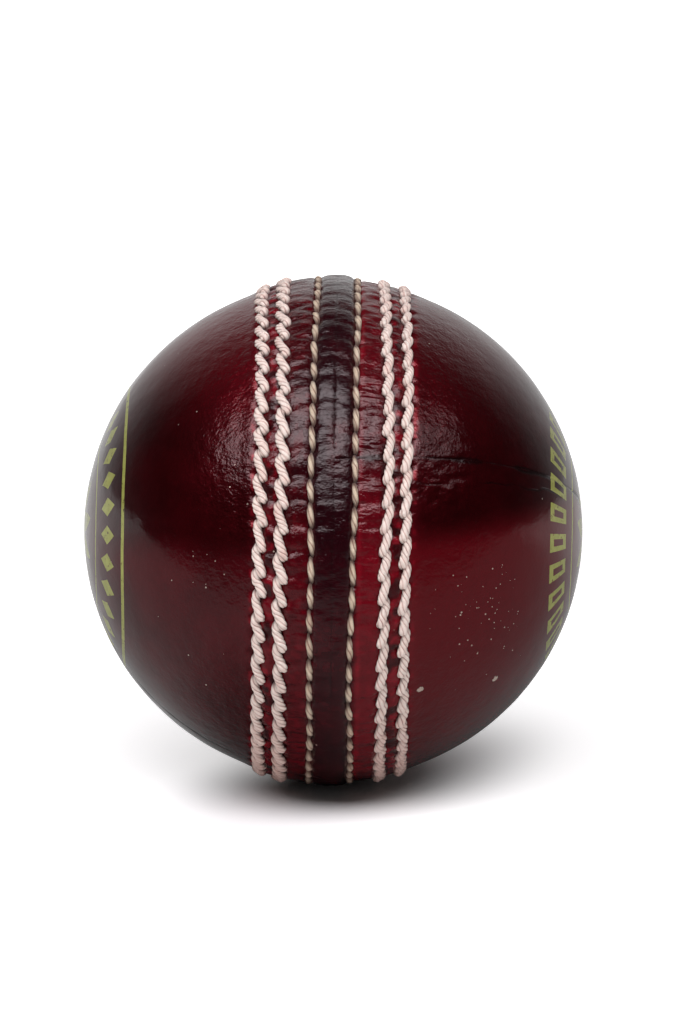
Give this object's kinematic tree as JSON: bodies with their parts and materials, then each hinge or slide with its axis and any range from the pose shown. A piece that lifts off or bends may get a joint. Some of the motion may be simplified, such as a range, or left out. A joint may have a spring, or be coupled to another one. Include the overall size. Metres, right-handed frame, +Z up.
{
  "type": "cricket ball",
  "caption": "Round red leather ball with a raised stitched seam round its middle, over a core of cork and wound yarn.",
  "frame": {"origin": "centre of the ball", "axes": "+X along the axis that the seam runs round, towards the middle of the right cup; -Y the pictured front; +Z up"},
  "size_m": [0.072, 0.0738, 0.0738],
  "materials": {
    "cover_leather": "dyed dark red, waxed and polished",
    "lining_leather": "undyed tanned split, matt",
    "grip_thread": "waxed twisted cord, off-white stained pink",
    "closing_thread": "waxed twisted cord, beige",
    "quarter_thread": "waxed linen thread",
    "yarn": "wound worsted yarn, matt",
    "cork": "cut cork, matt",
    "core_cork": "moulded cork and rubber, matt"
  },
  "bodies": {
    "root": {"cork_core": "core_cork", "inner_cork_slip_1": "cork", "inner_cork_slip_2": "cork", "inner_cork_slip_3": "cork", "inner_cork_slip_4": "cork", "inner_cork_slip_5": "cork", "inner_cork_slip_6": "cork", "inner_yarn_winding": "yarn", "leather_left_front": "cover_leather", "leather_left_rear": "cover_leather", "leather_right_lower": "cover_leather", "leather_right_upper": "cover_leather", "lining_left_front": "lining_leather", "lining_left_rear": "lining_leather", "lining_right_lower": "lining_leather", "lining_right_upper": "lining_leather", "middle_yarn_winding": "yarn", "outer_cork_slip_1": "cork", "outer_cork_slip_2": "cork", "outer_cork_slip_3": "cork", "outer_cork_slip_4": "cork", "outer_cork_slip_5": "cork", "outer_cork_slip_6": "cork", "outer_yarn_winding": "yarn", "quarter_seam_thread_left": "quarter_thread", "quarter_seam_thread_right": "quarter_thread", "seam_thread_left_inner": "closing_thread", "seam_thread_left_middle": "grip_thread", "seam_thread_left_outer": "grip_thread", "seam_thread_right_inner": "closing_thread", "seam_thread_right_middle": "grip_thread", "seam_thread_right_outer": "grip_thread"}
  },
  "joints": []
}
